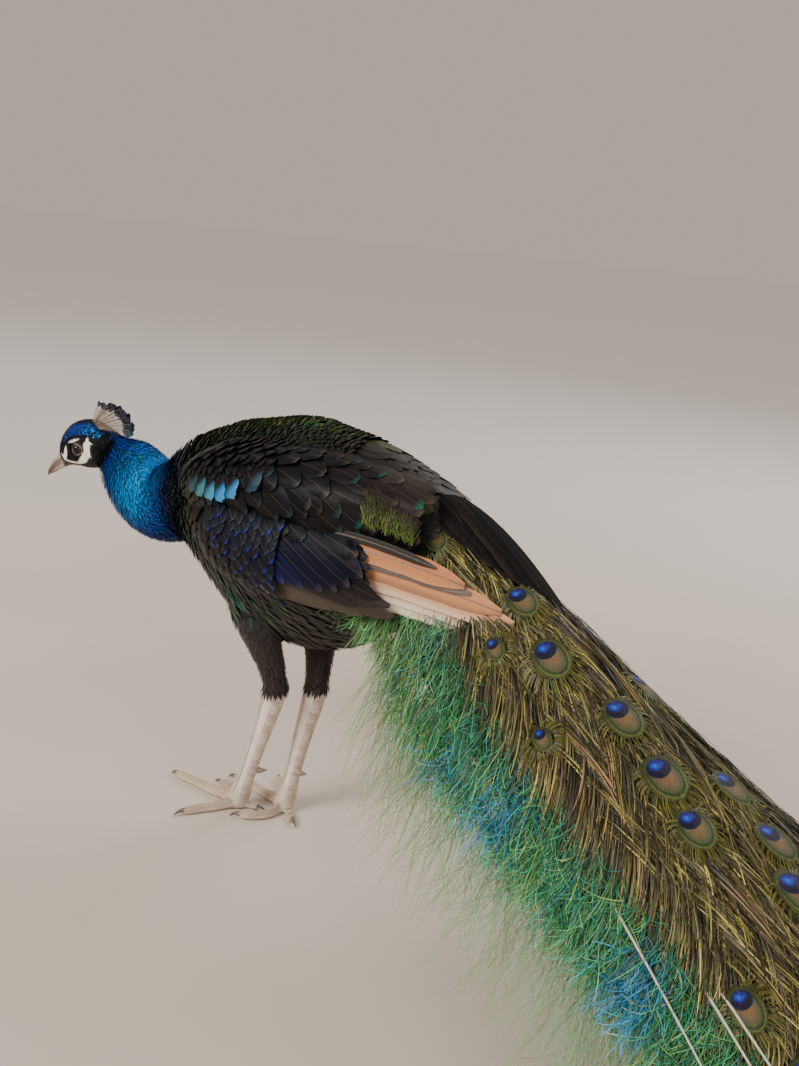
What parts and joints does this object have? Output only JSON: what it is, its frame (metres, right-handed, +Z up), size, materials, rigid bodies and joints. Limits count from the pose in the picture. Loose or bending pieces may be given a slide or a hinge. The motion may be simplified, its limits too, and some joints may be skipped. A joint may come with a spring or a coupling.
{
  "type": "peacock",
  "caption": "Life-size standing peacock with folded wings, a retracted blue neck and a long bronze-green train laid out behind it.",
  "frame": {"origin": "on the floor, at the middle of the bounding box in X and Y", "axes": "-X the way the bird faces, -Y its left side, +Z up"},
  "size_m": [1.7258, 0.6218, 0.4454],
  "materials": {
    "neck_feathers": "iridescent blue, silky sheen",
    "body_feathers": "glossy black with a blue and green sheen",
    "flight_feathers": "matt chestnut",
    "dark_flight_feathers": "satin black-brown",
    "thigh_feathers": "matt dark brown",
    "train_feathers": "metallic bronze green with eye spots",
    "tail_feathers": "matt grey-brown",
    "crest_feathers": "satin blue-black tips on bare shafts",
    "horn": "satin horn",
    "scaled_skin": "matt scaly skin",
    "eye": "wet gloss"
  },
  "bodies": {
    "root": {"head": "neck_feathers", "neck": "neck_feathers", "trunk": "body_feathers", "eye_left": "eye", "eye_right": "eye", "bill_upper": "horn", "bill_lower": "horn", "crest": "crest_feathers", "thigh_left": "thigh_feathers", "thigh_right": "thigh_feathers", "tarsus_left": "scaled_skin", "tarsus_right": "scaled_skin", "foot_left": "scaled_skin", "foot_right": "scaled_skin", "wing_left_coverts": "body_feathers", "wing_right_coverts": "body_feathers", "wing_left_secondaries": "dark_flight_feathers", "wing_right_secondaries": "dark_flight_feathers", "wing_right_tertials": "dark_flight_feathers", "wing_left_primaries": "flight_feathers", "wing_right_primaries": "flight_feathers", "train_base": "train_feathers", "train_middle": "train_feathers", "train_rear": "train_feathers", "train_tip": "train_feathers", "tail": "tail_feathers"}
  },
  "joints": []
}
